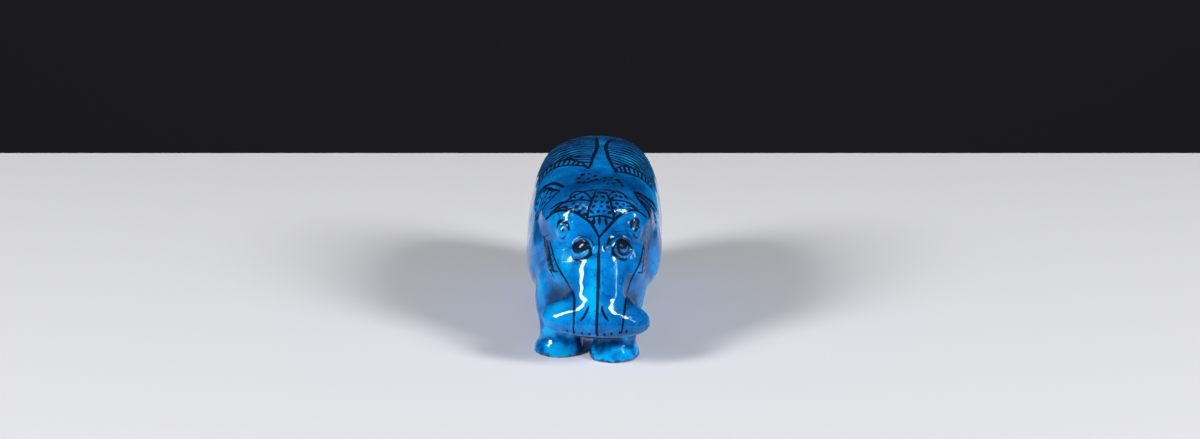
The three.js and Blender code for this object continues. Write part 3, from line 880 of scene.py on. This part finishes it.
# %% [markdown]
# ## Refining the mesh where it matters
# A line a millimetre wide needs points half a millimetre apart, but the plain sides don't. So only the edges
# near a stroke, an eye, an ear or the mouth are halved, round after round, and every new point slides onto
# the surface.

# %% Halve edges
# The corners of a face are a, b and c, and the middles of its edges are p, q and r. For each set of marked
# edges, this says how far to turn the face, and which triangles to split it into.
SPLITS = {code: (turn, "apc pbc") for turn, code in enumerate((1, 2, 4))}
SPLITS |= {code: (turn, "pbq apq aqc") for turn, code in enumerate((3, 6, 5))}
SPLITS |= {0: (0, "abc"), 7: (0, "apr pbq rqc pqr")}


def halved(points, faces, edge_pairs, face_edges, marked):
    """Splits the marked edges in the middle, and each face by which of its edges are marked."""
    middle = np.full(len(edge_pairs), -1)
    middle[marked] = len(points) + np.arange(marked.sum())
    points = np.concatenate([points, points[edge_pairs[marked]].mean(1)])
    middles = middle[face_edges]
    pattern = (middles >= 0) @ np.array([1, 2, 4])
    made = []
    for code, (turn, triangles) in SPLITS.items():
        found = pattern == code
        spots = np.hstack([np.roll(array[found], -turn, 1) for array in (faces, middles)])
        made += [spots[:, ["abcpqr".index(letter) for letter in triangle]] for triangle in triangles.split()]
    return points, np.concatenate(made)


DETAIL_REACH = 0.62  # of an eye or an ear, from its middle, as a share of its size


def feature_distance(points):
    """Rough distance to the nearest eye or ear, or to the line of the mouth."""
    spots = [np.linalg.norm(points - place[0], axis=1) - size * DETAIL_REACH
             for places, size in ((EYES, EYE_WIDTH), (EARS, EAR_LENGTH)) for place in places.values()]
    lips = np.abs(mouth_height(points)) - 1.5 + AWAY * (points[:, 1] > NOSE + 0.17 * LENGTH)
    return np.minimum.reduce([*spots, lips])


for longest, reach in ((1.0, 0.8), (0.8, 0.2)):
    measured = with_brushwork("measured", mesh_from("measured", stood_up(points), faces=faces))
    ink = get_attribute(measured, "ink") / MM
    bpy.data.meshes.remove(measured)
    detail = np.minimum(np.abs(ink), feature_distance(points))
    pairs, face_edges = edges_of(faces)
    length = np.linalg.norm(points[pairs[:, 0]] - points[pairs[:, 1]], axis=1)
    marked = (length > longest) & (detail[pairs].min(1) < reach + 0.4 * length)
    old = len(points)
    points, faces = halved(points, faces, pairs, face_edges, marked)
    points[old:] = onto_surface(points[old:], 2)
    print("halved", int(marked.sum()), "edges:", len(faces), "triangles")

# %% [markdown]
# ## Where the glaze is thick, and painted shade
# Molten glaze runs off ridges, gathers in hollows and stays on level places, so it is darker there. The same
# darkening is also painted shade: in hollows and creases, on level tops, most at the nape, and low down under
# the muzzle and the belly. A paler band down the snout is a painted sheen. A step out along the normal tells
# a
# ridge from a hollow: over a ridge the field grows by the whole step, in a hollow by much less.

# %% Depth of the glaze, and painted shade
DEPTH_STEPS = (1.5, 4.0, 9.0)  # along the normal, for fine to broad hollows


def glaze_depth_and_shade(points, normals):
    """Glaze depth and painted shade: more in hollows, on level tops, above all the nape, and low down;
    less on the feet, and a painted sheen along the snout.
    """
    x, y, z = points.T
    depth = np.zeros(len(points))
    # Darker in hollows and creases: the glaze gathers there, and this is painted shade as well.
    for step in DEPTH_STEPS:
        depth += (1 - clay_field(points + step * normals) / step) / 3
        depth += (1 - figure_field(points + step * normals) / step) / 3
    nape, rump = np.exp(-((y - NECK_Y) / 14) ** 2), fade(y, 0, 50)
    # Painted shade: level tops darker, most at the nape and over the rump.
    level = np.clip(normals[:, 2], 0, 1) * (0.04 + 0.46 * nape + 0.16 * rump)
    face = fade(y, NECK_Y, NECK_Y - 10) * fade(z, 40, 55)
    # Painted shade: darker low down, under the muzzle and the belly, but not on the feet.
    depth = np.maximum(depth, 0.12) + level + 0.3 * fade(z, 40, 10) - 0.3 * fade(z, 24, 12) + 0.08 * face
    # Painted sheen: a paler band down the left of the snout, beside its highlight.
    snout = np.exp(-((x + 4 - head_shift(y)) / 4) ** 2 - ((z - 45) / 15) ** 2)
    return depth - 0.35 * snout * (y < NECK_Y)


_, normals = slope_of(figure_field, points)
normals /= np.linalg.norm(normals, axis=1)[:, None]
# Glaze depth with painted shade and a painted sheen, for each point.
pool_and_shade = glaze_depth_and_shade(points, normals)
print("pool from", pool_and_shade.min().round(2), "to", pool_and_shade.max().round(2), "mean", pool_and_shade.mean().round(2))

# %% Black of the eyes, and bare clay
LIP_LINE = 0.6  # how far above the line of the mouth the clay shows


def eye_paint(local, side):
    """Distance to the black of an eye: the edge of its upper lid, the line below it, and its ball or iris."""
    half, u, v = in_eye(local, side)
    upper = np.abs(0.9 * half * above_upper_lid(u, v) - 0.3) - 0.8 + AWAY * (v < -0.15)
    under = np.abs(np.hypot(u / 1.1, v) - 1) * half - 1.7 * np.clip(0.45 - 0.7 * u, 0, 0.8) + AWAY * (v > 0.3)
    opening = eye_opening(local, side)
    if side < 0:
        ball = opening - 0.1
    else:
        iris = np.abs(np.hypot(u - 0.02, v - 0.08) * half - 3.5) - 0.75
        pupil = np.hypot((u + 0.02) * half, 1.3 * (v - 0.3) * half) - 2.8
        ball = np.maximum(np.minimum(iris, pupil), opening)
    return np.minimum.reduce([upper, under, ball])


lip = np.abs(mouth_height(points) - LIP_LINE) - 0.3 + AWAY * (points[:, 1] > NOSE + 0.1 * LENGTH)
bare = np.minimum(np.minimum(points[:, 2] - 1.1, lip), 3)
print(int((bare < 0).sum()), "points on bare clay")

# %% The figure
body = with_brushwork("hippo_figure", mesh_from("hippo_figure", stood_up(points), faces=faces))
ink = get_attribute(body, "ink")
for side in (-1, 1):
    local = in_place(points, EYES[side])
    close = near(local, DETAIL_REACH * EYE_WIDTH)
    ink[close] = np.minimum(ink[close], eye_paint(local[close], side) * MM)
body.attributes["ink"].data.foreach_set("value", ink)
# The glaze depth with its painted shade and sheen goes to the material.
set_attribute(body, "pool_and_shade", pool_and_shade)
set_attribute(body, "bare", bare * MM)
upright = normals.copy()  # a lean by shear tips the normals back
upright[:, 2] -= LEAN * normals[:, 0]
upright /= np.linalg.norm(upright, axis=1)[:, None]
body.normals_split_custom_set_from_vertices(upright)
figure = add_object("hippo_figure", body)
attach(figure, "root")
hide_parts("hippo")
bpy.data.objects.remove(brush)
print(figure.name, "has", len(body.polygons), "triangles")

# %% [markdown]
# ## Glaze
# Faience glaze is a coloured glass over pale clay. Its blue is never even: it is a bright turquoise blue
# where it is thin, and a deep blue where it gathers, and the same deep blue is painted on as shade. The
# cracks are a Voronoi pattern, read as the distance to the nearest cell edge, and the brushwork lies under
# the glass, so it has nearly the same gloss.

# %% Helpers of the material
glaze.use_nodes = True
shader = glaze.node_tree
shader.nodes.clear()
place_vector = new_node(shader, "ShaderNodeTexCoord").outputs["Object"]


def attribute(name):
    return new_node(shader, "ShaderNodeAttribute", {"attribute_name": name}).outputs["Fac"]


def noise(scale, detail=2.0, output="Fac"):
    node = new_node(shader, "ShaderNodeTexNoise", Vector=place_vector, Scale=scale, Detail=detail)
    return node.outputs[output]


def math_node(operation, a, b, c=0.0):
    return new_node(shader, "ShaderNodeMath", {"operation": operation}, n0=a, n1=b, n2=c).outputs[0]


def times(a, b):
    return math_node("MULTIPLY", a, b)


def plus(a, b):
    return math_node("ADD", a, b)


def ramp(value, low, high, to_low=0.0, to_high=1.0):
    return new_node(shader, "ShaderNodeMapRange", {"interpolation_type": "SMOOTHSTEP"}, Value=value,
                    From_Min=low, From_Max=high, To_Min=to_low, To_Max=to_high).outputs[0]


def laid_over(colour, over, share):
    """A colour with another one over it, by a share from 0 to 1."""
    return new_node(shader, "ShaderNodeMix", {"data_type": "RGBA"}, n0=share, n6=colour, n7=over).outputs[2]


# %% Blue of the glass, by its thickness and the painted shade
THIN_GLASS, MIDDLE_GLASS, THICK_GLASS_AND_SHADE = (0.0, 0.38, 0.82, 1), (0.0, 0.162, 0.52, 1), (0.0, 0.045, 0.16, 1)
cloud = noise(38, 3)
mottle = noise(150, 4)
height = new_node(shader, "ShaderNodeSeparateXYZ", Vector=place_vector).outputs["Z"]
foot_patches = times(math_node("SUBTRACT", noise(160, 1), 0.5), ramp(height, 0.026, 0.014, 0, 1.7))
cloud = plus(cloud, foot_patches)
# Painted shade and sheen come in here with the glaze depth.
thickness_and_shade = plus(times(attribute("pool_and_shade"), 0.9), plus(times(cloud, 0.9), times(mottle, 0.35)))
tone = new_node(shader, "ShaderNodeValToRGB", Fac=ramp(thickness_and_shade, 0.45, 1.3))
stops = tone.color_ramp.elements
stops[0].color, stops[1].color = THIN_GLASS, THICK_GLASS_AND_SHADE
stops.new(0.45).color = MIDDLE_GLASS
print("glass from", THIN_GLASS, "to", THICK_GLASS_AND_SHADE)

# %% Cracks, paint and bare clay
CRACK_COLOUR, PAINT, CLAY = (0.0, 0.012, 0.07, 1), (0.004, 0.005, 0.011, 1), (0.36, 0.22, 0.12, 1)
wander = new_node(shader, "ShaderNodeVectorMath", {"operation": "SCALE"}, n0=noise(120, output="Color"),
                  Scale=0.004).outputs[0]
warped = new_node(shader, "ShaderNodeVectorMath", {"operation": "ADD"}, n0=place_vector, n1=wander).outputs[0]


def cracks(scale, width):
    """A net of cracks: 1 in them and 0 between them."""
    cell = new_node(shader, "ShaderNodeTexVoronoi", {"feature": "DISTANCE_TO_EDGE"}, Vector=warped,
                    Scale=scale)
    return ramp(cell.outputs["Distance"], width, 0.2 * width)


crack = math_node("MAXIMUM", cracks(150, 0.034), times(cracks(330, 0.05), 0.35))
crack = times(crack, ramp(noise(60), 0.38, 0.56))
colour = laid_over(tone.outputs[0], CRACK_COLOUR, times(crack, 0.6))
ragged = math_node("MULTIPLY_ADD", noise(900), 0.0004, math_node("SUBTRACT", attribute("ink"), 0.0002))
brushed = ramp(ragged, 0.00012, -0.00012)
colour = laid_over(colour, PAINT, times(brushed, 0.96))
unglazed = ramp(math_node("MULTIPLY_ADD", noise(300, 3), 0.0012, attribute("bare")), 0.0002, -0.0001)
colour = laid_over(colour, CLAY, unglazed)

# %% Surface of the glass
swell = new_node(shader, "ShaderNodeBump", Height=noise(140, 3), Strength=0.2, Distance=0.0006).outputs[0]
fine = new_node(shader, "ShaderNodeBump", Height=math_node("SUBTRACT", 1.0, crack), Strength=0.3,
                Distance=0.00006, Normal=swell).outputs[0]
surface = new_node(shader, "ShaderNodeBsdfPrincipled", IOR=1.45, Normal=fine, Base_Color=colour,
                   Roughness=ramp(unglazed, 0, 1, 0.055, 0.7), Specular_Tint=(0.6, 0.9, 1.0, 1),
                   Specular_IOR_Level=ramp(brushed, 0, 1, 0.5, 0.25))
new_node(shader, "ShaderNodeOutputMaterial", n0=surface.outputs[0])
print(len(shader.nodes), "nodes in the glaze")

# %% [markdown]
# ## Floor, backdrop and light
# The figure stands on a plain pale floor in front of a plain dark backdrop. Two large soft lamps at the front
# left and the front right light it and cast the two wide soft shadows behind it. Three more light nothing and
# only show in the glaze, as the highlights down the face. So shadows and highlights can each be set alone.

# %% Floor and backdrop
def flat_sheet(name, low, high, colour, roughness):
    """A sheet without gloss, from its low front corner to its high back one, in metres."""
    (left, front, bottom), (right, back, top) = low, high
    mesh = bpy.data.meshes.new(name)
    mesh.from_pydata([(left, front, bottom), (right, front, bottom), (right, back, top), (left, back, top)],
                     [], [(0, 1, 2, 3)])
    dull = bpy.data.materials.new(name)
    dull.use_nodes = True
    look = dull.node_tree.nodes["Principled BSDF"].inputs
    look["Base Color"].default_value = (*colour, 1)
    look["Roughness"].default_value = roughness
    look["Specular IOR Level"].default_value = 0
    mesh.materials.append(dull)
    made = add_object(name, mesh)
    print(name, "from", low, "to", high)


flat_sheet("floor", (-2.5, -2.5, 0), (2.5, 0.398, 0), (0.80, 0.80, 0.83), 0.6)
flat_sheet("backdrop", (-4, 3, -2), (4, 3, 3.5), (0.021, 0.021, 0.027), 0.9)

# %% Light
ROOM_LIGHT = (0.073, 0.073, 0.078, 1)
LAMP_DISTANCE, HIGHLIGHT_DISTANCE = 3.2, 2.2  # metres
scene.world = bpy.data.worlds.new("studio")
scene.world.use_nodes = True
scene.world.node_tree.nodes["Background"].inputs["Color"].default_value = ROOM_LIGHT


def soft_box(name, azimuth, elevation, size, power, shows=False):
    """A lamp at an azimuth towards the -X side. It lights the figure, or only shows in its glaze."""
    distance = HIGHLIGHT_DISTANCE if shows else LAMP_DISTANCE
    a, e = radians(azimuth), radians(elevation)
    data = bpy.data.lights.new(name, "AREA")
    data.shape, data.energy = "RECTANGLE", power
    data.size, data.size_y = size
    lamp = add_object(name, data)
    lamp.location = Vector((-sin(a) * cos(e), -cos(a) * cos(e), sin(e))) * distance
    aim(lamp, (0, 0, 0.04))
    lamp.visible_glossy, lamp.visible_diffuse = shows, not shows
    print(name, "at", [round(c, 2) for c in lamp.location])


soft_box("left lamp", 56, 29, (0.9, 1.0), 90)
soft_box("right lamp", -56, 29, (0.9, 1.0), 90)
soft_box("left highlight", 65.5, 50, (0.43, 1.5), 105, shows=True)
soft_box("right highlight", -53, 58, (0.32, 0.36), 20, shows=True)
soft_box("right glow", -57, 37, (0.22, 0.9), 9, shows=True)
scene.view_settings.view_transform = "Standard"
